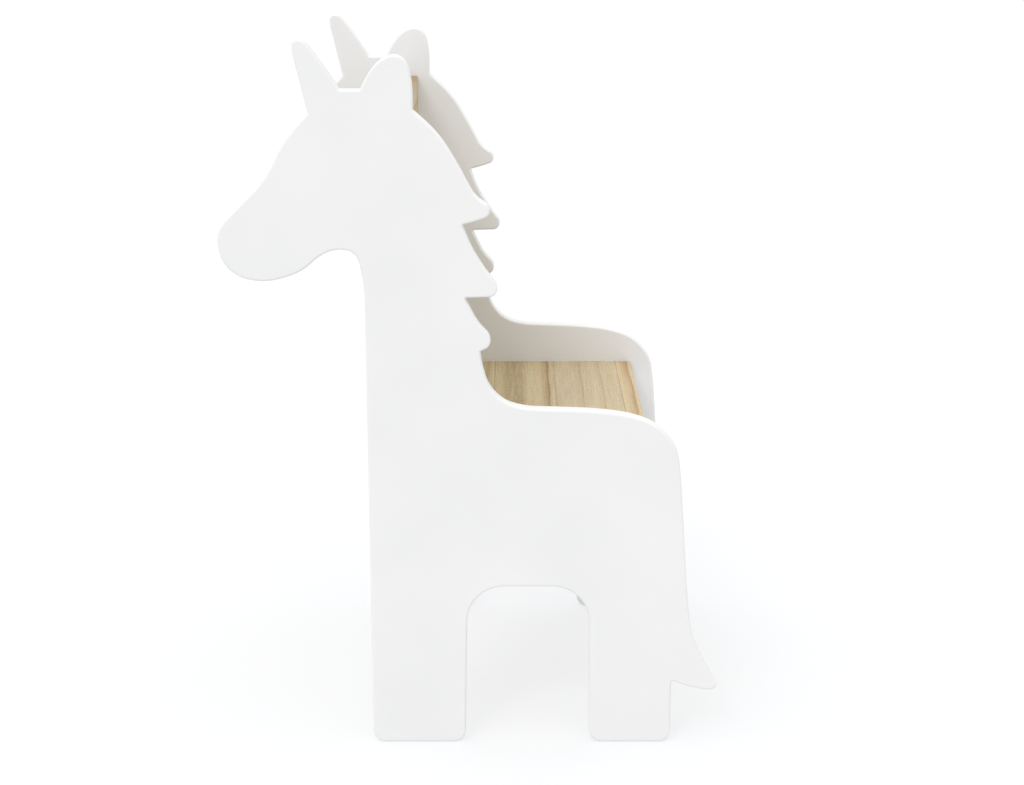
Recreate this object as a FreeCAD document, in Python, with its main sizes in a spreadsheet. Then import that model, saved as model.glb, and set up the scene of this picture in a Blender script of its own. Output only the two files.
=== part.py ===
import FreeCAD, Part
import math
import os
import Sketcher

# A child's chair whose two side panels are unicorn silhouettes. Sizes are in millimetres.
# +Z is up and z = 0 is the floor. +X is the way the sitting child faces, towards the unicorn's tail;
# the unicorn looks towards -X. +Y is the child's left. The origin is on the floor, in the middle of the
# chair's length and width.
SIZES = {
    # the whole chair
    "chair_length": 412.5,
    "chair_height": 600.0,
    "chair_width": 320.0,
    "seat_height": 260.0,
    # the chair that the outline below was drawn on
    "drawn_length": 412.5,
    "drawn_height": 600.0,
    "drawn_seat": 260.0,
    "drawn_back": 298.6,
    "drawn_chest": -87.7,
    "drawn_rump": 171.0,
    "drawn_hock": 167.5,
    # the side panels
    "panel_thickness": 12.0,
    "arch_height": 142.4,
    "fore_leg_width": 79.0,
    "hind_leg_width": 69.5,
    "leg_slant": 2.6,
    "hoof_rounding": 10.0,
    "arch_rounding": 32.0,
    "notch_rounding": 1.2,
    "panel_arris": 2.0,
    # the seat and the backrest
    "board_thickness": 15.0,
    "board_arris": 1.5,
    "backrest_setback": 14.0,
    "backrest_drop": 58.0,
    "seat_setback": 22.0,
    # the cam fittings, with their bolts, and the dowels
    "cam_diameter": 15.0,
    "cam_floor": 3.0,
    "cam_clearance": 0.1,
    "cam_distance": 24.0,
    "recess_length": 8.0,
    "recess_width": 1.8,
    "recess_depth": 2.0,
    "bolt_thread": 5.0,
    "bolt_shank": 6.5,
    "bolt_neck": 3.6,
    "bolt_head": 5.8,
    "bolt_head_length": 4.0,
    "bolt_chamfer": 0.8,
    "bolt_clearance": 0.3,
    "bolt_in_panel": 8.5,
    "dowel_diameter": 8.0,
    "dowel_length": 30.0,
    "dowel_in_panel": 8.5,
    "dowel_chamfer": 1.0,
    "dowel_end_gap": 0.5,
    "fixing_margin": 38.0,
    "dowel_spacing": 32.0,
}

doc = FreeCAD.newDocument("unicorn_chair")
sheet = doc.addObject("Spreadsheet::Sheet", "Sizes")
for row, (alias, value) in enumerate(SIZES.items(), start=1):
    sheet.set(f"A{row}", alias)
    sheet.set(f"B{row}", str(value))
    sheet.setAlias(f"B{row}", alias)
doc.recompute()

# Places that follow from the sizes, as expressions on the sheet.
INSIDE = "(Sizes.chair_width / 2 - Sizes.panel_thickness)"
STRETCH = "Sizes.chair_length / Sizes.drawn_length"
BACKREST_REAR = f"(Sizes.drawn_chest * {STRETCH} + Sizes.backrest_setback)"
BACKREST_FRONT = f"({BACKREST_REAR} + Sizes.board_thickness)"
SEAT_FRONT = f"(Sizes.drawn_rump * {STRETCH} - Sizes.seat_setback)"
SEAT_UNDER = "(Sizes.seat_height - Sizes.board_thickness)"
BACKREST_TOP = "(Sizes.chair_height - Sizes.backrest_drop)"
CAM_LENGTH = "(Sizes.board_thickness - Sizes.cam_floor)"
HOOF_TO_HOOF = f"((Sizes.drawn_hock - Sizes.drawn_chest) * {STRETCH})"
ARCH_WIDTH = f"({HOOF_TO_HOOF} - Sizes.fore_leg_width - Sizes.hind_leg_width)"
# Two roundings take at most nine tenths of the arch's width, so that its top keeps a flat.
ARCH_ROUNDING = f"min(Sizes.arch_rounding; 0.45 * {ARCH_WIDTH})"

# Tolerances of the tests below: how close two equal places come, and the least volume that a cut removes.
SAME_PLACE = 0.01
LEAST_CUT = 0.1


def number(expression):
    """What an expression on the sheet comes to."""
    return float(sheet.evalExpression(expression))


# The outline stretches with the chair. The body and the legs follow the seat height, and the neck and the
# head follow what is left up to the horn's tip.
BACK_HEIGHT = number("Sizes.drawn_back * Sizes.seat_height / Sizes.drawn_seat")
NECK_STRETCH = (SIZES["chair_height"] - BACK_HEIGHT) / (SIZES["drawn_height"] - SIZES["drawn_back"])
# A drawn rounding keeps the smallest of the stretches, so that it never outgrows the sides that it joins.
ROUNDING_STRETCH = min(number(STRETCH), BACK_HEIGHT / SIZES["drawn_back"], NECK_STRETCH)


def across(x):
    """A drawn distance along the chair, stretched to the chair's length."""
    return x * number(STRETCH)


def up(z):
    """A drawn height, stretched with the body up to the unicorn's back and with the neck above it."""
    if z <= SIZES["drawn_back"]:
        return z * BACK_HEIGHT / SIZES["drawn_back"]
    return BACK_HEIGHT + (z - SIZES["drawn_back"]) * NECK_STRETCH


# Corners of the unicorn's outline, counter-clockwise from the front of the fore hoof. The third entry
# is the corner's rounding: a radius, or FULL for an arc as large as its two sides allow.
FULL = None
NOTCH = SIZES["notch_rounding"]
HOOF = SIZES["hoof_rounding"]
ARCH = number(ARCH_ROUNDING)
LEG_SLANT = SIZES["leg_slant"]
chest = across(SIZES["drawn_chest"])
hock = across(SIZES["drawn_hock"])
fore_leg_inside = chest + SIZES["fore_leg_width"]
hind_leg_inside = hock - SIZES["hind_leg_width"]
legs = [(chest, 0.0, HOOF), (fore_leg_inside, 0.0, HOOF),
        (fore_leg_inside + LEG_SLANT, SIZES["arch_height"], ARCH),
        (hind_leg_inside - LEG_SLANT / 2, SIZES["arch_height"], ARCH),
        (hind_leg_inside, 0.0, HOOF), (hock, 0.0, HOOF)]
tail = [(167.6, 57.0, 2.2), (183.4, 50.5, FULL), (201.0, 47.9, FULL), (206.25, 50.0, FULL),
        (206.25, 54.4, FULL), (196.0, 71.6, FULL), (184.0, 98.0, FULL), (180.0, 131.0, FULL)]
rump_and_back = [(172.2, 240.0, FULL), (169.3, 262.0, FULL), (161.5, 274.5, FULL), (148.0, 286.5, FULL),
                 (127.0, 293.6, FULL), (97.0, 297.0, FULL), (43.0, 298.6, FULL), (25.5, 303.2, FULL),
                 (12.0, 316.5, FULL), (6.6, 336.0, FULL)]
mane = [(5.3, 347.0, NOTCH), (13.9, 351.2, FULL), (13.6, 360.2, FULL), (3.6, 370.2, FULL),
        (-7.2, 392.0, NOTCH), (17.8, 392.8, FULL), (20.4, 401.6, FULL), (10.4, 413.8, FULL),
        (-2.0, 434.0, FULL),
        (-8.8, 452.2, NOTCH), (3.0, 455.2, FULL), (13.6, 459.2, FULL), (13.6, 467.4, FULL),
        (1.6, 474.8, FULL), (-12.0, 501.0, FULL), (-27.0, 525.6, FULL)]
ear = [(-47.6, 544.2, NOTCH), (-47.7, 566.5, FULL), (-51.6, 583.2, FULL), (-61.0, 589.0, FULL),
       (-73.0, 584.6, FULL), (-82.0, 574.4, FULL), (-89.2, 560.6, NOTCH)]
horn = [(-105.4, 560.6, NOTCH), (-121.2, 584.8, FULL), (-133.5, 600.0, FULL), (-142.2, 600.0, FULL),
        (-142.2, 590.5, FULL), (-130.9, 542.4, NOTCH)]
face = [(-153.0, 517.6, FULL), (-165.5, 490.0, FULL), (-186.5, 469.5, FULL), (-201.6, 454.0, FULL),
        (-206.25, 445.0, FULL), (-206.25, 433.0, FULL), (-201.6, 418.4, FULL), (-187.5, 407.6, FULL),
        (-166.0, 404.9, FULL), (-139.4, 413.0, FULL), (-124.0, 427.2, FULL), (-110.5, 432.6, FULL),
        (-94.6, 430.0, FULL), (-88.4, 404.0, FULL)]
outline = legs + [(across(x), up(z), rounding and rounding * ROUNDING_STRETCH)
                  for x, z, rounding in tail + rump_and_back + mane + ear + horn + face]


def rounded_outline(corners):
    """Lines and tangent arcs round a closed run of corners, and where each corner's arc is among them."""
    points = [FreeCAD.Vector(x, z, 0) for x, z, rounding in corners]
    arcs = []
    for i, here in enumerate(points):
        before = points[i - 1] - here
        after = points[(i + 1) % len(points)] - here
        half_angle = before.getAngle(after) / 2
        rounding = corners[i][2]
        if rounding is FULL:
            reach = min(before.Length, after.Length) / 2
        else:
            reach = rounding / math.tan(half_angle)
        before.normalize()
        after.normalize()
        middle = (before + after).normalize()
        radius = reach * math.tan(half_angle)
        centre = here + middle * (radius / math.sin(half_angle))
        arcs.append(Part.Arc(here + before * reach, centre - middle * radius, here + after * reach))
    pieces = []
    arc_indices = []
    for i, arc in enumerate(arcs):
        arc_indices.append(len(pieces))
        pieces.append(arc)
        start = arc.EndPoint
        end = arcs[(i + 1) % len(arcs)].StartPoint
        if (end - start).Length > SAME_PLACE:
            pieces.append(Part.LineSegment(start, end))
    return pieces, arc_indices


def origin_feature(body, role):
    """The body's own origin plane or axis with this role."""
    return next(feature for feature in body.Origin.OriginFeatures if feature.Role == role)


def new_body(label):
    """An empty body, which becomes one kind of piece."""
    body = doc.addObject("PartDesign::Body", label)
    body.Label = label
    return body


def new_sketch(body, name, plane, offset=None):
    """A sketch on one of the body's origin planes, moved along the plane's normal by an expression."""
    sketch = body.newObject("Sketcher::SketchObject", name)
    sketch.AttachmentSupport = [(origin_feature(body, plane), "")]
    sketch.MapMode = "FlatFace"
    if offset:
        sketch.setExpression("AttachmentOffset.Base.z", offset)
    return sketch


def bind(sketch, kind, places, expression):
    """A dimension of the sketch that follows an expression on the sheet."""
    index = sketch.addConstraint(Sketcher.Constraint(kind, *places, number(expression)))
    sketch.setExpression(f"Constraints[{index}]", expression)


def add_polygon(sketch, corners):
    """A closed polygon whose corners' two distances from the sketch's origin follow expressions."""
    points = [FreeCAD.Vector(number(x), number(y), 0) for x, y in corners]
    first = sketch.GeometryCount
    for i, point in enumerate(points):
        sketch.addGeometry(Part.LineSegment(point, points[(i + 1) % len(points)]))
    for i, (x, y) in enumerate(corners):
        before = first + (i - 1) % len(points)
        sketch.addConstraint(Sketcher.Constraint("Coincident", before, 2, first + i, 1))
        for kind, distance in (("DistanceX", x), ("DistanceY", y)):
            if number(distance) == 0:
                axis = -2 if kind == "DistanceX" else -1
                sketch.addConstraint(Sketcher.Constraint("PointOnObject", first + i, 1, axis))
            else:
                bind(sketch, kind, (-1, 1, first + i, 1), distance)


def add_rectangle(sketch, left, right, bottom, top):
    """A rectangle between four expressions."""
    add_polygon(sketch, [(left, bottom), (right, bottom), (right, top), (left, top)])


def add_circles(sketch, centres, diameter):
    """Equal circles whose centres' distances from the sketch's origin follow expressions."""
    for x, y in centres:
        centre = FreeCAD.Vector(number(x), number(y), 0)
        circle = sketch.addGeometry(Part.Circle(centre, FreeCAD.Vector(0, 0, 1), number(diameter) / 2))
        for kind, distance in (("DistanceX", x), ("DistanceY", y)):
            if number(distance) == 0:
                axis = -2 if kind == "DistanceX" else -1
                sketch.addConstraint(Sketcher.Constraint("PointOnObject", circle, 3, axis))
            else:
                bind(sketch, kind, (-1, 1, circle, 3), distance)
        bind(sketch, "Diameter", (circle,), diameter)


def pad(body, sketch, length, reverse=False):
    """Adds the sketch's area to the body, to a length given by an expression."""
    feature = body.newObject("PartDesign::Pad", f"{sketch.Name}_pad")
    feature.Profile = sketch
    feature.setExpression("Length", length)
    feature.Reversed = reverse
    doc.recompute()
    return feature


def pocket(body, sketch, length, reverse=False):
    """Cuts the sketch's area out of the body, to a depth given by an expression."""
    volume_before = body.Shape.Volume
    feature = body.newObject("PartDesign::Pocket", f"{sketch.Name}_pocket")
    feature.Profile = sketch
    feature.setExpression("Length", length)
    feature.Reversed = reverse
    doc.recompute()
    if body.Shape.Volume > volume_before - LEAST_CUT:
        raise RuntimeError(f"{feature.Name} cuts nothing")
    return feature


def round_edges(body, name, radius, wanted):
    """Rounds those edges of the body that the test picks."""
    rounded = body.Tip
    edges = [f"Edge{i}" for i, edge in enumerate(rounded.Shape.Edges, start=1) if wanted(edge.BoundBox)]
    fillet = body.newObject("PartDesign::Fillet", name)
    fillet.Base = (rounded, edges)
    fillet.setExpression("Radius", radius)
    doc.recompute()


def flat_at(low, high, place):
    """Whether an edge's box has no thickness and lies at this place."""
    return abs(low - place) < SAME_PLACE and abs(high - place) < SAME_PLACE


def along_board(start, end):
    """The cam fittings' and the dowels' places along a board that runs from start to end."""
    cams = [f"({start} + Sizes.fixing_margin)", f"({end} - Sizes.fixing_margin)"]
    dowels = [f"({cams[0]} + Sizes.dowel_spacing)", f"({cams[1]} - Sizes.dowel_spacing)"]
    return cams, dowels


# Where the fixings lie, as expressions: two cam fittings with a dowel beside each, on each end of a board.
SEAT_CAMS, SEAT_DOWELS = along_board(BACKREST_FRONT, SEAT_FRONT)
BACKREST_CAMS, BACKREST_DOWELS = along_board(SEAT_UNDER, BACKREST_TOP)
SEAT_MIDDLE = f"({SEAT_UNDER} + Sizes.board_thickness / 2)"
BACKREST_MIDDLE = f"({BACKREST_REAR} + Sizes.board_thickness / 2)"
BOLT_PLACES = [(x, SEAT_MIDDLE) for x in SEAT_CAMS] + [(BACKREST_MIDDLE, z) for z in BACKREST_CAMS]
DOWEL_PLACES = [(x, SEAT_MIDDLE) for x in SEAT_DOWELS] + [(BACKREST_MIDDLE, z) for z in BACKREST_DOWELS]
DOWEL_IN_BOARD = "(Sizes.dowel_length - Sizes.dowel_in_panel + Sizes.dowel_end_gap)"
BOLT_BORE = "(Sizes.bolt_shank + 2 * Sizes.bolt_clearance)"


def meeting_ends(sketch, piece, following):
    """The constraint that joins the two ends at which one piece of an outline meets the next."""
    pairs = [(end, other_end) for end in (1, 2) for other_end in (1, 2)]
    end, other_end = min(pairs, key=lambda pair: sketch.getPoint(piece, pair[0]).distanceToPoint(
        sketch.getPoint(following, pair[1])))
    return Sketcher.Constraint("Coincident", piece, end, following, other_end)


def side_panel(label, side):
    """A unicorn silhouette of painted board: side is -1 for the child's right and +1 for the left."""
    body = new_body(label)
    inner_plane = f"{-side} * {INSIDE}"
    sketch = new_sketch(body, f"{label}_outline", "XZ_Plane", inner_plane)
    pieces, arc_indices = rounded_outline(outline)
    sketch.addGeometry(pieces)
    sketch.addConstraint([meeting_ends(sketch, i, (i + 1) % len(pieces)) for i in range(len(pieces))])
    for corner, (x, z, rounding) in enumerate(legs):
        size = ARCH_ROUNDING if z else "Sizes.hoof_rounding"
        bind(sketch, "Radius", (arc_indices[corner],), size)
    pad(body, sketch, "Sizes.panel_thickness", reverse=side > 0)
    round_edges(body, f"{label}_arris", "Sizes.panel_arris", lambda box: box.YLength < SAME_PLACE)
    bolts = new_sketch(body, f"{label}_bolt_holes", "XZ_Plane", inner_plane)
    add_circles(bolts, BOLT_PLACES, "Sizes.bolt_thread")
    pocket(body, bolts, "Sizes.bolt_in_panel", reverse=side < 0)
    dowels = new_sketch(body, f"{label}_dowel_holes", "XZ_Plane", inner_plane)
    add_circles(dowels, DOWEL_PLACES, "Sizes.dowel_diameter")
    pocket(body, dowels, "Sizes.dowel_in_panel + Sizes.dowel_end_gap", reverse=side < 0)
    return body


def bore_board(body, cams, dowels, cam_plane, cam_offset, cam_centres):
    """The cam fittings' holes in a board's face and the bores in its two ends."""
    cam_holes = new_sketch(body, f"{body.Label}_cam_holes", cam_plane, cam_offset)
    add_circles(cam_holes, cam_centres, "Sizes.cam_diameter")
    bolt_bores = new_sketch(body, f"{body.Label}_bolt_bores", "XZ_Plane", INSIDE)
    add_circles(bolt_bores, cams, BOLT_BORE)
    dowel_bores = new_sketch(body, f"{body.Label}_dowel_bores", "XZ_Plane", INSIDE)
    add_circles(dowel_bores, dowels, "Sizes.dowel_diameter")
    cuts = [
        pocket(body, cam_holes, CAM_LENGTH, reverse=True),
        pocket(body, bolt_bores, "Sizes.cam_distance"),
        pocket(body, dowel_bores, DOWEL_IN_BOARD),
    ]
    other_end = body.newObject("PartDesign::Mirrored", f"{body.Label}_other_end")
    other_end.Originals = cuts
    other_end.MirrorPlane = (origin_feature(body, "XZ_Plane"), [""])
    body.Tip = other_end
    doc.recompute()


def seat_board():
    """The seat, from the backrest to a little behind the panels' rumps, with its grain from side to side."""
    body = new_body("seat_board")
    sketch = new_sketch(body, "seat_plan", "XY_Plane", SEAT_UNDER)
    add_rectangle(sketch, BACKREST_FRONT, SEAT_FRONT, f"-{INSIDE}", INSIDE)
    pad(body, sketch, "Sizes.board_thickness")
    front = number(SEAT_FRONT)
    round_edges(body, "seat_arris", "Sizes.board_arris",
                lambda box: flat_at(box.XMin, box.XMax, front) and box.YLength > SAME_PLACE)
    cams = [(x, SEAT_MIDDLE) for x in SEAT_CAMS]
    dowels = [(x, SEAT_MIDDLE) for x in SEAT_DOWELS]
    centres = [(x, f"(Sizes.cam_distance - {INSIDE})") for x in SEAT_CAMS]
    bore_board(body, cams, dowels, "XY_Plane", SEAT_UNDER, centres)
    return body


def backrest_board():
    """The backrest, upright between the unicorns' necks, from the seat's underside to the heads."""
    body = new_body("backrest_board")
    sketch = new_sketch(body, "backrest_front", "YZ_Plane", BACKREST_REAR)
    add_rectangle(sketch, f"-{INSIDE}", INSIDE, SEAT_UNDER, BACKREST_TOP)
    pad(body, sketch, "Sizes.board_thickness")
    top = number(BACKREST_TOP)
    bottom = number(SEAT_UNDER)
    round_edges(body, "backrest_arris", "Sizes.board_arris",
                lambda box: box.YLength > SAME_PLACE and (flat_at(box.ZMin, box.ZMax, top)
                                                          or flat_at(box.ZMin, box.ZMax, bottom)))
    cams = [(BACKREST_MIDDLE, z) for z in BACKREST_CAMS]
    dowels = [(BACKREST_MIDDLE, z) for z in BACKREST_DOWELS]
    centres = [(f"(Sizes.cam_distance - {INSIDE})", z) for z in BACKREST_CAMS]
    bore_board(body, cams, dowels, "YZ_Plane", BACKREST_REAR, centres)
    return body


def cam_lock():
    """One cam: it stands on its slotted face, with its axis on +Z, and the bolt comes in along +Y."""
    body = new_body("cam_lock")
    disc = new_sketch(body, "cam_disc", "XY_Plane")
    add_circles(disc, [("0", "0")], "Sizes.cam_diameter - 2 * Sizes.cam_clearance")
    pad(body, disc, CAM_LENGTH)
    for name, long_way in (("recess_along", "x"), ("recess_across", "y")):
        recess = new_sketch(body, name, "XY_Plane")
        half_sizes = ["Sizes.recess_length / 2", "Sizes.recess_width / 2"]
        if long_way == "y":
            half_sizes.reverse()
        wide, deep = half_sizes
        add_rectangle(recess, f"-{wide}", wide, f"-{deep}", deep)
        pocket(body, recess, "Sizes.recess_depth", reverse=True)
    axis_height = "Sizes.board_thickness / 2"
    neck_room = "(Sizes.bolt_neck + 2 * Sizes.bolt_clearance)"
    head_room = "(Sizes.bolt_head + 2 * Sizes.bolt_clearance)"
    neck_way = new_sketch(body, "neck_way", "XZ_Plane")
    add_circles(neck_way, [("0", axis_height)], neck_room)
    pocket(body, neck_way, "Sizes.cam_diameter", reverse=True)
    head_way = new_sketch(body, "head_way", "YZ_Plane", f"-{head_room} / 2")
    add_circles(head_way, [("0", axis_height)], head_room)
    pocket(body, head_way, "Sizes.cam_diameter", reverse=True)
    turn_way = new_sketch(body, "turn_way", "XZ_Plane")
    add_rectangle(turn_way, "Sizes.bolt_head / 2", "Sizes.cam_diameter",
                  f"{axis_height} - {neck_room} / 2", f"{axis_height} + {neck_room} / 2")
    volume_before = body.Shape.Volume
    groove = body.newObject("PartDesign::Groove", "turn_way_groove")
    groove.Profile = turn_way
    groove.ReferenceAxis = (origin_feature(body, "Z_Axis"), [""])
    groove.Angle = 90
    groove.Reversed = True
    doc.recompute()
    if body.Shape.Volume > volume_before - LEAST_CUT:
        raise RuntimeError("turn_way_groove cuts nothing")
    return body


def cam_bolt():
    """One bolt: its thread is in the panel, below y = 0, and its head in the cam, at +Y."""
    body = new_body("cam_bolt")
    profile = new_sketch(body, "bolt_profile", "XY_Plane")
    rim = "(Sizes.cam_distance - Sizes.cam_diameter / 2 - Sizes.bolt_chamfer)"
    head_start = "(Sizes.cam_distance - Sizes.bolt_head_length / 2)"
    head_end = "(Sizes.cam_distance + Sizes.bolt_head_length / 2)"
    add_polygon(profile, [
        ("0", "-Sizes.bolt_in_panel"),
        ("Sizes.bolt_thread / 2 - Sizes.bolt_chamfer", "-Sizes.bolt_in_panel"),
        ("Sizes.bolt_thread / 2", "Sizes.bolt_chamfer - Sizes.bolt_in_panel"),
        ("Sizes.bolt_thread / 2", "0"),
        ("Sizes.bolt_shank / 2", "0"),
        ("Sizes.bolt_shank / 2", rim),
        ("Sizes.bolt_neck / 2", rim),
        ("Sizes.bolt_neck / 2", head_start),
        ("Sizes.bolt_head / 2", f"{head_start} + Sizes.bolt_chamfer"),
        ("Sizes.bolt_head / 2", f"{head_end} - Sizes.bolt_chamfer"),
        ("Sizes.bolt_head / 2 - Sizes.bolt_chamfer", head_end),
        ("0", head_end),
    ])
    turned = body.newObject("PartDesign::Revolution", "bolt_turned")
    turned.Profile = profile
    turned.ReferenceAxis = (origin_feature(body, "Y_Axis"), [""])
    turned.Angle = 360
    doc.recompute()
    return body


def dowel():
    """One wooden dowel with chamfered ends, along Y: the panel's part of it is below y = 0."""
    body = new_body("dowel")
    section = new_sketch(body, "dowel_section", "XZ_Plane", "Sizes.dowel_in_panel")
    add_circles(section, [("0", "0")], "Sizes.dowel_diameter")
    pad(body, section, "Sizes.dowel_length", reverse=True)
    pin = body.Tip
    ends = [f"Edge{i}" for i, edge in enumerate(pin.Shape.Edges, start=1)
            if edge.BoundBox.YLength < SAME_PLACE]
    chamfer = body.newObject("PartDesign::Chamfer", "dowel_ends")
    chamfer.Base = (pin, ends)
    chamfer.setExpression("Size", "Sizes.dowel_chamfer")
    doc.recompute()
    return body


def set_of(label, piece, places):
    """Copies of one fixing as one node: each place is three expressions and a turn."""
    copies = []
    for i, (x, y, z, turn) in enumerate(places, start=1):
        copy = doc.addObject("App::Link", f"{label}_{i}")
        copy.LinkedObject = piece
        copy.Placement = FreeCAD.Placement(FreeCAD.Vector(0, 0, 0), turn)
        for axis, distance in (("x", x), ("y", y), ("z", z)):
            copy.setExpression(f"Placement.Base.{axis}", distance)
        copies.append(copy)
    group = doc.addObject("Part::Compound", label)
    group.Label = label
    group.Links = copies
    return group


# Each fixing is drawn for the child's right-hand panel and turned half round for the left-hand one.
AS_DRAWN = FreeCAD.Rotation()
HALF_TURN = FreeCAD.Rotation(FreeCAD.Vector(0, 0, 1), 180)
TO_BACKREST = FreeCAD.Rotation(FreeCAD.Vector(0, 1, 0), 90)
SIDES = [(f"-{INSIDE}", f"(Sizes.cam_distance - {INSIDE})", AS_DRAWN),
         (INSIDE, f"({INSIDE} - Sizes.cam_distance)", HALF_TURN)]

nodes = [
    side_panel("right_side_panel", -1),
    side_panel("left_side_panel", 1),
    seat_board(),
    backrest_board(),
]
cam = cam_lock()
bolt = cam_bolt()
peg = dowel()
nodes += [
    set_of("seat_cam_locks", cam,
           [(x, cam_y, SEAT_UNDER, turn) for x in SEAT_CAMS for face, cam_y, turn in SIDES]),
    set_of("seat_cam_bolts", bolt,
           [(x, face, SEAT_MIDDLE, turn) for x in SEAT_CAMS for face, cam_y, turn in SIDES]),
    set_of("seat_dowels", peg,
           [(x, face, SEAT_MIDDLE, turn) for x in SEAT_DOWELS for face, cam_y, turn in SIDES]),
    set_of("backrest_cam_locks", cam,
           [(BACKREST_REAR, cam_y, z, TO_BACKREST * turn)
            for z in BACKREST_CAMS for face, cam_y, turn in SIDES]),
    set_of("backrest_cam_bolts", bolt,
           [(BACKREST_MIDDLE, face, z, turn) for z in BACKREST_CAMS for face, cam_y, turn in SIDES]),
    set_of("backrest_dowels", peg,
           [(BACKREST_MIDDLE, face, z, turn) for z in BACKREST_DOWELS for face, cam_y, turn in SIDES]),
]
doc.recompute()

for item in doc.Objects:
    if "Invalid" in item.State or "Error" in item.State:
        raise RuntimeError(f"{item.Name} failed: {item.State}")
for node in nodes:
    if node.Shape.isNull() or not node.Shape.isValid():
        raise RuntimeError(f"{node.Label} has no valid shape")

os.makedirs("parts", exist_ok=True)
for node in nodes:
    node.Shape.exportStep(f"parts/{node.Label}.step")
    box = node.Shape.BoundBox
    print(f"{node.Label}: {len(node.Shape.Solids)} solids, {node.Shape.Volume / 1000:.1f} cm3, "
          f"x {box.XMin:.1f} to {box.XMax:.1f}, y {box.YMin:.1f} to {box.YMax:.1f}, "
          f"z {box.ZMin:.1f} to {box.ZMax:.1f}")
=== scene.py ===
import math

import bpy
import numpy as np
from mathutils import Euler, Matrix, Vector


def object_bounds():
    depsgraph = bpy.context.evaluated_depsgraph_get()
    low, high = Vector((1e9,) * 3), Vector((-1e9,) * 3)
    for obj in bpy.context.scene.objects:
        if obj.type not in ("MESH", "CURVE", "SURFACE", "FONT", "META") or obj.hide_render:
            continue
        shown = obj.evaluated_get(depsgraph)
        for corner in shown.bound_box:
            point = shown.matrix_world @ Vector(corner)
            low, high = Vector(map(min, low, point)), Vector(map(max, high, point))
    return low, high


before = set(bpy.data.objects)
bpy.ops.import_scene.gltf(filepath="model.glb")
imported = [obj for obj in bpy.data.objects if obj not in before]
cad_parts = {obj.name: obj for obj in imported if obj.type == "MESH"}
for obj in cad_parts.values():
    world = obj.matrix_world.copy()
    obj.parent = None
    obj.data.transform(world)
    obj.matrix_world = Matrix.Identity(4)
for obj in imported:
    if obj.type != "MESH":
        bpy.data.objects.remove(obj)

cad_low, cad_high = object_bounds()

MM = 0.001


# ---------------------------------------------------------------- colours and nodes

def linear(hex_colour):
    """An sRGB hex colour as linear red, green, blue and an alpha of 1."""
    channels = [int(hex_colour[i:i + 2], 16) / 255 for i in (1, 3, 5)]
    return [c / 12.92 if c <= 0.04045 else ((c + 0.055) / 1.055) ** 2.4 for c in channels] + [1.0]


def add(tree, kind, settings=None, **inputs):
    """Adds a node and returns its outputs.

    Settings are the node's own properties, with "stops" for a ramp's (place, hex colour or grey) pairs.
    Inputs are values, or sockets to link, by the socket's name with _ for each space, or by _ and its
    number where names repeat. A Mix node of colours has its share at 0, the colours at 6 and 7, and its
    result at output 2.
    """
    node = tree.nodes.new("ShaderNode" + kind)
    for name, value in (settings or {}).items():
        if name != "stops":
            setattr(node, name, value)
            continue
        elements = node.color_ramp.elements
        for _ in value[len(elements):]:
            elements.new(1.0)
        for element, (place, colour) in zip(elements, value):
            element.position = place
            element.color = linear(colour) if isinstance(colour, str) else (colour, colour, colour, 1.0)
    for name, value in inputs.items():
        socket = node.inputs[int(name[1:]) if name.startswith("_") else name.replace("_", " ")]
        if isinstance(value, bpy.types.NodeSocket):
            tree.links.new(value, socket)
        else:
            socket.default_value = value
    return node.outputs


def empty_material(name):
    """A material without nodes, its tree, and the object coordinates that its patterns read."""
    material = bpy.data.materials.new(name)
    material.use_nodes = True
    material.node_tree.nodes.clear()
    return material, material.node_tree, add(material.node_tree, "TexCoord")["Object"]


def cells(along, across, deep):
    """Mapping scales that give a pattern cells of so many mm along Y, the way of the grain, and X and Z."""
    return (1 / (across * MM), 1 / (along * MM), 1 / (deep * MM))


# ---------------------------------------------------------------- the chair's materials

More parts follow.
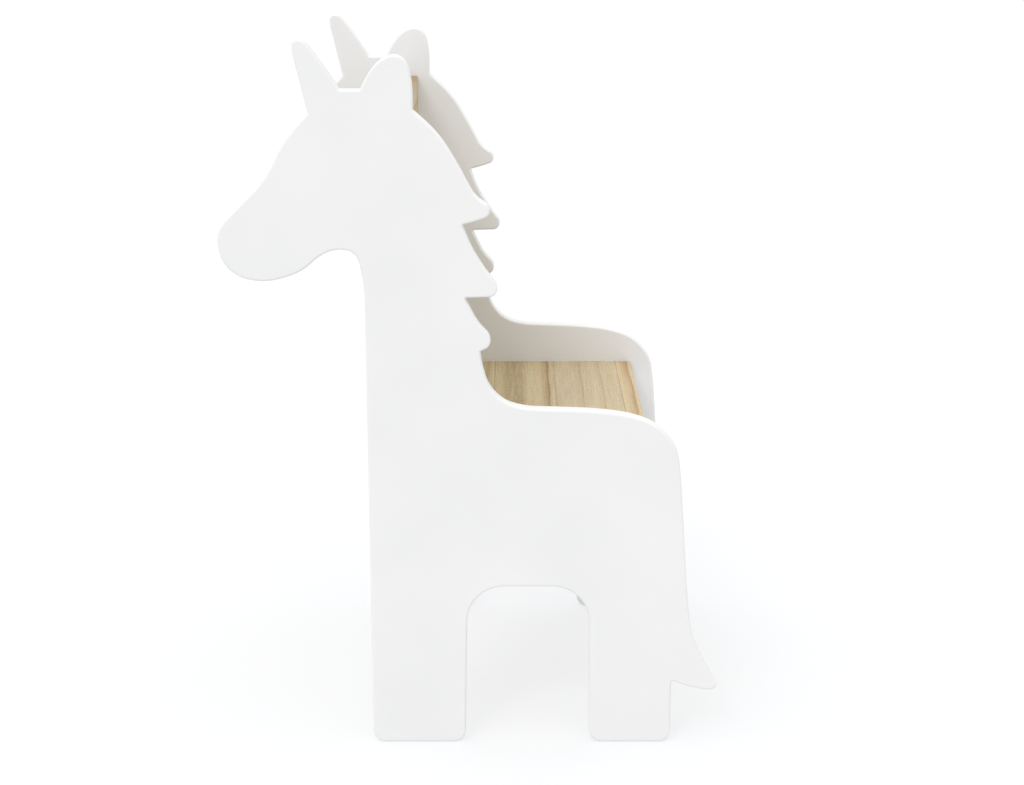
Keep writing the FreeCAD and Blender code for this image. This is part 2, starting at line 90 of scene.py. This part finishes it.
def lacquered_fibreboard():
    """White satin lacquer, sprayed on medium-density fibreboard.

    The eye sees an even, opaque white with a soft sheen. Close up the lacquer has a faint orange peel, and
    on the sawn edges it sinks into the fibres a little, so they are a touch duller and rougher.
    """
    material, tree, place = empty_material("white_lacquered_fibreboard")

    # 1 on the sawn edges, which face away from Y, and 0 on the two faces.
    facing = add(tree, "SeparateXYZ", Vector=add(tree, "NewGeometry")["Normal"])["Y"]
    flat = add(tree, "Math", {"operation": "ABSOLUTE"}, _0=facing)[0]
    edge = add(tree, "ValToRGB", {"stops": [(0.35, 1.0), (0.9, 0.0)]}, Fac=flat)["Color"]

    # Coats of slightly uneven thickness, about 90 mm from cloud to cloud.
    coats = add(tree, "Mapping", Vector=place, Scale=cells(90, 90, 90))[0]
    coat = add(tree, "TexNoise", Vector=coats, Scale=1.0, Detail=2.0)["Fac"]
    face_tone = add(tree, "ValToRGB", {"stops": [(0.3, "#DADADA"), (0.7, "#DDDDDC")]}, Fac=coat)["Color"]

    # Fibres under the lacquer of the edges, in clumps just under 1 mm across.
    fibre_cells = add(tree, "Mapping", Vector=place, Scale=cells(0.9, 0.9, 0.9))[0]
    fibre = add(tree, "TexNoise", Vector=fibre_cells, Scale=1.0, Detail=3.0)["Fac"]
    edge_tone = add(tree, "ValToRGB", {"stops": [(0.35, "#D4D3D0"), (0.6, "#DCDCDA")]}, Fac=fibre)["Color"]
    edge_share = add(tree, "Math", {"operation": "MULTIPLY"}, _0=edge, _1=0.25)[0]
    colour = add(tree, "Mix", {"data_type": "RGBA"}, _0=edge_share, _6=face_tone, _7=edge_tone)[2]

    # Sheen: satin, in patches of about 35 mm, and rougher on the edges.
    patches = add(tree, "Mapping", Vector=place, Scale=cells(35, 35, 35))[0]
    patch = add(tree, "TexNoise", Vector=patches, Scale=1.0, Detail=3.0)["Fac"]
    satin = add(tree, "MapRange", Value=patch, To_Min=0.36, To_Max=0.46)[0]
    rough = add(tree, "Math", {"operation": "MULTIPLY_ADD"}, _0=edge, _1=0.1, _2=satin)[0]

    # Orange peel: shallow cells about 1.6 mm across.
    peel_cells = add(tree, "Mapping", Vector=place, Scale=cells(1.6, 1.6, 1.6))[0]
    peel = add(tree, "TexNoise", Vector=peel_cells, Scale=1.0, Detail=1.0)["Fac"]
    relief = add(tree, "Bump", Height=peel, Strength=0.6, Distance=0.015 * MM)[0]
    shader = add(tree, "BsdfPrincipled", IOR=1.5, Roughness=rough, Normal=relief, Base_Color=colour)
    add(tree, "OutputMaterial", Surface=shader[0])
    return material


def glued_paulownia(name, stave_width, across_axis):
    """Pale paulownia staves glued edge to edge, planed, sanded and sealed with clear matt lacquer.

    The grain runs along Y, from one side panel to the other, and the staves lie side by side along
    across_axis, each about stave_width mm wide. They are sawn nearly on the quarter, so the growth rings
    show as almost straight brown lines, each with a pink-brown shade on one side. The staves differ in tone
    from straw to grey, with fine fibre streaks, speckles, short dark pores and a thin line where two of
    them meet. The board is drawn a little darker where its surface turns away from its two faces.
    """
    material, tree, place = empty_material(name)
    parts = add(tree, "SeparateXYZ", Vector=place)
    thickness_axis = "Z" if across_axis == "X" else "X"

    # Staves of unequal width: cells of a line, with three random numbers for each. The line is counted from
    # first_stave at the origin, which keeps every count above 0 and sets where the seams fall.
    first_stave = 40.3
    line = add(tree, "Math", {"operation": "DIVIDE"}, _0=parts[across_axis], _1=stave_width * MM)[0]
    line = add(tree, "Math", {"operation": "ADD"}, _0=line, _1=first_stave)[0]
    stave = add(tree, "TexVoronoi", {"voronoi_dimensions": "1D"}, W=line, Scale=1.0, Randomness=0.5)
    chance = add(tree, "SeparateColor", Color=stave["Color"])
    to_seam = add(tree, "TexVoronoi", {"voronoi_dimensions": "1D", "feature": "DISTANCE_TO_EDGE"},
                  W=line, Scale=1.0, Randomness=0.5)["Distance"]
    seam = add(tree, "MapRange", Value=to_seam, From_Min=0.2 / stave_width, From_Max=0.7 / stave_width,
               To_Min=1.0, To_Max=0.0)[0]

    # The heart of each stave's log: 90 to 250 mm past the origin across the board, and 30 to 80 mm past it
    # through the board's thickness. It wanders by up to 4 mm along the stave, in waves of 210 mm.
    stave_start = add(tree, "Math", {"operation": "MULTIPLY"}, _0=chance[0], _1=50.0)[0]
    wander_place = add(tree, "Math", {"operation": "MULTIPLY_ADD"}, _0=parts["Y"], _1=1 / (210 * MM),
                       _2=stave_start)[0]
    wander = add(tree, "TexNoise", {"noise_dimensions": "1D"}, W=wander_place, Scale=1.0, Detail=2.0)["Fac"]
    beside = add(tree, "Math", {"operation": "MULTIPLY_ADD"}, _0=chance[1], _1=160 * MM, _2=90 * MM)[0]
    beside = add(tree, "Math", {"operation": "MULTIPLY_ADD"}, _0=wander, _1=4 * MM, _2=beside)[0]
    beside = add(tree, "Math", {"operation": "ADD"}, _0=beside, _1=parts[across_axis])[0]
    below = add(tree, "Math", {"operation": "MULTIPLY_ADD"}, _0=chance[2], _1=50 * MM, _2=30 * MM)[0]
    below = add(tree, "Math", {"operation": "ADD"}, _0=below, _1=parts[thickness_axis])[0]

    # Growth rings, counted from the heart: about 24 mm each, wider and narrower in turns of good and bad
    # years, and rippled a little by the grain. Luck is a random number for each year's ring.
    from_heart = add(tree, "CombineXYZ", X=beside, Y=below)[0]
    radius = add(tree, "VectorMath", {"operation": "LENGTH"}, _0=from_heart)["Value"]
    good_years = add(tree, "Math", {"operation": "DIVIDE"}, _0=radius, _1=30 * MM)[0]
    growth = add(tree, "TexNoise", {"noise_dimensions": "1D"}, W=good_years, Scale=1.0, Detail=1.0)["Fac"]
    ripples = add(tree, "Mapping", Vector=place, Scale=cells(45, 5, 5))[0]
    ripple = add(tree, "TexNoise", Vector=ripples, Scale=1.0, Detail=3.0)["Fac"]
    rings = add(tree, "Math", {"operation": "DIVIDE"}, _0=radius, _1=24 * MM)[0]
    rings = add(tree, "Math", {"operation": "MULTIPLY_ADD"}, _0=growth, _1=1.3, _2=rings)[0]
    rings = add(tree, "Math", {"operation": "MULTIPLY_ADD"}, _0=ripple, _1=0.12, _2=rings)[0]
    ring = add(tree, "Math", {"operation": "FRACT"}, _0=rings)[0]
    year = add(tree, "Math", {"operation": "FLOOR"}, _0=rings)[0]
    year = add(tree, "Math", {"operation": "ADD"}, _0=year, _1=stave_start)[0]
    luck = add(tree, "TexWhiteNoise", {"noise_dimensions": "1D"}, W=year)["Value"]
    latewood_stops = [(0.0, 0.7), (0.035, 0.25), (0.1, 0.03), (0.6, 0.0), (0.86, 0.12), (0.94, 0.4),
                      (0.975, 1.0), (1.0, 0.8)]
    latewood = add(tree, "ValToRGB", {"stops": latewood_stops}, Fac=ring)["Color"]
    shade_stops = [(0.0, 0.3), (0.08, 0.0), (0.62, 0.0), (0.92, 0.6)]
    shade = add(tree, "ValToRGB", {"stops": shade_stops}, Fac=ring)["Color"]

    # Bands of tone, 17 mm wide on the seat and 40 mm on the backrest, then fibre streaks, speckles and
    # pores, all longer along the grain. The last three are drawn about twice as coarse as real ones, so
    # that they show.
    bands = add(tree, "Mapping", Vector=place, Scale=cells(420, 17, 40))[0]
    band = add(tree, "TexNoise", Vector=bands, Scale=1.0, Detail=2.0)["Fac"]
    fibres = add(tree, "Mapping", Vector=place, Scale=cells(60, 1.2, 1.2))[0]
    fibre = add(tree, "TexNoise", Vector=fibres, Scale=1.0, Detail=5.0, Roughness=0.62)["Fac"]
    speckles = add(tree, "Mapping", Vector=place, Scale=cells(4.5, 0.9, 0.9))[0]
    speckle = add(tree, "TexNoise", Vector=speckles, Scale=1.0, Detail=2.0)["Fac"]
    pores = add(tree, "Mapping", Vector=place, Scale=cells(9, 0.45, 0.45))[0]
    pore = add(tree, "TexNoise", Vector=pores, Scale=1.0, Detail=2.0)["Fac"]
    pore = add(tree, "ValToRGB", {"stops": [(0.6, 0.0), (0.7, 1.0)]}, Fac=pore)["Color"]

    # The layers' colours, white where a layer leaves the wood as it is, and how much of each layer shows.
    staves = [(0.0, "#CCBC96"), (0.3, "#C7B893"), (0.55, "#C3B495"), (0.8, "#CDBD97"), (1.0, "#C8B490")]
    stave_tone = add(tree, "ValToRGB", {"stops": staves}, Fac=chance[0])["Color"]
    pink_to_grey = [(0.28, "#E9DACA"), (0.42, "#FFFFFF"), (0.55, "#F6F5EC"), (0.7, "#E2E1D9")]
    band_tone = add(tree, "ValToRGB", {"stops": pink_to_grey}, Fac=band)["Color"]
    fibre_tone = add(tree, "ValToRGB", {"stops": [(0.3, "#CDBFA6"), (0.62, "#FFFFFF")]}, Fac=fibre)["Color"]
    flecked = [(0.36, "#AC9F89"), (0.6, "#FFFFFF")]
    speckle_tone = add(tree, "ValToRGB", {"stops": flecked}, Fac=speckle)["Color"]
    speckle_share = add(tree, "Math", {"operation": "MULTIPLY_ADD"}, _0=chance[2], _1=0.45, _2=0.2)[0]
    shade_share = add(tree, "Math", {"operation": "MULTIPLY"}, _0=shade, _1=luck)[0]
    line_share = add(tree, "Math", {"operation": "MULTIPLY_ADD"}, _0=luck, _1=0.3, _2=0.25)[0]
    line_share = add(tree, "Math", {"operation": "MULTIPLY"}, _0=latewood, _1=line_share)[0]
    pore_share = add(tree, "Math", {"operation": "MULTIPLY"}, _0=pore, _1=0.3)[0]
    seam_share = add(tree, "Math", {"operation": "MULTIPLY"}, _0=seam, _1=0.4)[0]

    # The board's sawn edges are where its surface turns away from the thickness axis.
    facing = add(tree, "SeparateXYZ", Vector=add(tree, "NewGeometry")["Normal"])[thickness_axis]
    flat = add(tree, "Math", {"operation": "ABSOLUTE"}, _0=facing)[0]
    edge_share = add(tree, "ValToRGB", {"stops": [(0.4, 0.6), (0.9, 0.0)]}, Fac=flat)["Color"]

    # Each layer darkens the wood by its own share: (share, the layer's colour).
    layers = [(0.35, band_tone), (0.5, fibre_tone), (speckle_share, speckle_tone),
              (shade_share, linear("#E6D0B8")), (line_share, linear("#9C8262")),
              (pore_share, linear("#A08A68")), (seam_share, linear("#8C7350")),
              (edge_share, linear("#D8CDBB"))]
    multiply = {"data_type": "RGBA", "blend_type": "MULTIPLY"}
    colour = stave_tone
    for share, tone in layers:
        colour = add(tree, "Mix", multiply, _0=share, _6=colour, _7=tone)[2]

    # The lacquer is thin, so the seams, the pores and the fibres can still be felt.
    rough = add(tree, "MapRange", Value=fibre, To_Min=0.46, To_Max=0.6)[0]
    hollows = add(tree, "Math", {"operation": "MULTIPLY_ADD"}, _0=seam, _1=2.0, _2=pore)[0]
    height = add(tree, "Math", {"operation": "MULTIPLY_ADD"}, _0=hollows, _1=-1.0, _2=fibre)[0]
    relief = add(tree, "Bump", Height=height, Strength=0.5, Distance=0.04 * MM)[0]
    shader = add(tree, "BsdfPrincipled", IOR=1.5, Roughness=rough, Normal=relief, Base_Color=colour)
    add(tree, "OutputMaterial", Surface=shader[0])
    return material


def die_cast_zinc():
    """Die-cast zinc, tumbled: a grey metal with a fine satin grain and small cloudy differences in tone.

    The clouds are 3 mm and the grains 0.35 mm across.
    """
    material, tree, place = empty_material("die_cast_zinc")
    clouds = add(tree, "Mapping", Vector=place, Scale=cells(3, 3, 3))[0]
    cloud = add(tree, "TexNoise", Vector=clouds, Scale=1.0, Detail=4.0)["Fac"]
    colour = add(tree, "ValToRGB", {"stops": [(0.3, "#9FA2A4"), (0.7, "#BFC1C2")]}, Fac=cloud)["Color"]
    grains = add(tree, "Mapping", Vector=place, Scale=cells(0.35, 0.35, 0.35))[0]
    grain = add(tree, "TexNoise", Vector=grains, Scale=1.0, Detail=3.0)["Fac"]
    rough = add(tree, "MapRange", Value=grain, To_Min=0.34, To_Max=0.52)[0]
    relief = add(tree, "Bump", Height=grain, Strength=0.5, Distance=0.02 * MM)[0]
    shader = add(tree, "BsdfPrincipled", Metallic=1.0, Roughness=rough, Normal=relief, Base_Color=colour)
    add(tree, "OutputMaterial", Surface=shader[0])
    return material


def zinc_plated_steel():
    """Zinc-plated steel, turned: bright metal with tool marks in rings, about 0.25 mm apart on the bolt."""
    material, tree, place = empty_material("zinc_plated_steel")
    marks = add(tree, "Mapping", Vector=place, Scale=cells(0.25, 6, 6))[0]
    mark = add(tree, "TexNoise", Vector=marks, Scale=1.0, Detail=2.0)["Fac"]
    colour = add(tree, "ValToRGB", {"stops": [(0.3, "#B4B6B4"), (0.7, "#D3D4D0")]}, Fac=mark)["Color"]
    rough = add(tree, "MapRange", Value=mark, To_Min=0.2, To_Max=0.34)[0]
    shader = add(tree, "BsdfPrincipled", Metallic=1.0, Roughness=rough, Base_Color=colour)
    add(tree, "OutputMaterial", Surface=shader[0])
    return material


def turned_beech():
    """Raw turned beech: warm pink-brown with short dark flecks, 4 mm long, along the grain."""
    material, tree, place = empty_material("turned_beech")
    flecks = add(tree, "Mapping", Vector=place, Scale=cells(4, 0.5, 0.5))[0]
    fleck = add(tree, "TexNoise", Vector=flecks, Scale=1.0, Detail=3.0)["Fac"]
    colour = add(tree, "ValToRGB", {"stops": [(0.35, "#D0AE82"), (0.62, "#C39B6C"), (0.75, "#8F653E")]},
                 Fac=fleck)["Color"]
    shader = add(tree, "BsdfPrincipled", IOR=1.5, Roughness=0.62, Base_Color=colour)
    add(tree, "OutputMaterial", Surface=shader[0])
    return material


FINISHES = {
    "right_side_panel": lacquered_fibreboard(),
    "seat_board": glued_paulownia("paulownia_seat", 52, "X"),
    "backrest_board": glued_paulownia("paulownia_backrest", 58, "Z"),
    "seat_cam_locks": die_cast_zinc(),
    "seat_cam_bolts": zinc_plated_steel(),
    "seat_dowels": turned_beech(),
}
FINISHES["left_side_panel"] = FINISHES["right_side_panel"]
for fixing in ("cam_locks", "cam_bolts", "dowels"):
    FINISHES[f"backrest_{fixing}"] = FINISHES[f"seat_{fixing}"]
for node_name, finish in FINISHES.items():
    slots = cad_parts[node_name].data.materials
    slots.clear()
    slots.append(finish)


# ---------------------------------------------------------------- floor, light and camera

def light_table():
    """A wide flat floor of opal acrylic lit from below: the eye sees plain white with only faint shadows.

    Its four corners are a grid of x and y, each minus and plus half the width, just under the hooves.
    """
    half_width = 14.0
    below_hooves = 0.2 * MM
    x, y = np.meshgrid([-half_width, half_width], [-half_width, half_width])
    z = np.full_like(x, cad_low.z - below_hooves)
    corners = np.stack([x, y, z], axis=-1).reshape(-1, 3)
    mesh = bpy.data.meshes.new("light_table")
    mesh.from_pydata(corners.tolist(), [], [(0, 1, 3, 2)])
    table = bpy.data.objects.new("light_table", mesh)
    bpy.context.scene.collection.objects.link(table)

    # Its white drifts very slightly, over a metre or more.
    material, tree, place = empty_material("opal_acrylic")
    drift = add(tree, "TexNoise", Vector=place, Scale=0.7, Detail=2.0)["Fac"]
    colour = add(tree, "ValToRGB", {"stops": [(0.3, "#828282"), (0.7, "#868686")]}, Fac=drift)["Color"]
    shader = add(tree, "BsdfPrincipled", Roughness=0.9, Specular_IOR_Level=0.1, Base_Color=colour,
                 Emission_Color=linear("#FCFDFF"), Emission_Strength=0.68)
    add(tree, "OutputMaterial", Surface=shader[0])
    mesh.materials.append(material)


def soft_sun(name, azimuth, elevation, strength, spread):
    """An even light from far away. Azimuth 0 shines along +Y and 90 along -X, and spread is its width,
    all in degrees.
    """
    lamp = bpy.data.lights.new(name, "SUN")
    lamp.energy = strength
    lamp.angle = math.radians(spread)
    light = bpy.data.objects.new(name, lamp)
    light.rotation_euler = Euler((math.radians(90 - elevation), 0, math.radians(azimuth)))
    bpy.context.scene.collection.objects.link(light)


def studio():
    """White surroundings, a large soft light overhead, and a smaller one in front, high on the left."""
    world = bpy.data.worlds.new("studio")
    world.use_nodes = True
    background = world.node_tree.nodes["Background"]
    background.inputs["Color"].default_value = linear("#FFFFFF")
    background.inputs["Strength"].default_value = 1.08
    bpy.context.scene.world = world
    soft_sun("overhead", -40, 75, 1.0, 60)
    soft_sun("front_left", -27, 45, 0.5, 14)


def camera():
    """A camera in front of the chair's right side, a little above the ears and looking down."""
    looking_down = 13.79
    lens = bpy.data.cameras.new("camera")
    lens.sensor_width = 36.0
    lens.lens = 63.9
    lens.shift_y = -0.05
    view = bpy.data.objects.new("camera", lens)
    view.location = (0.0314, -1.6013, 0.7098)
    view.rotation_euler = Euler((math.radians(90 - looking_down), 0, 0))
    bpy.context.scene.collection.objects.link(view)
    bpy.context.scene.camera = view


light_table()
studio()
camera()
bpy.context.scene.view_settings.view_transform = "Standard"
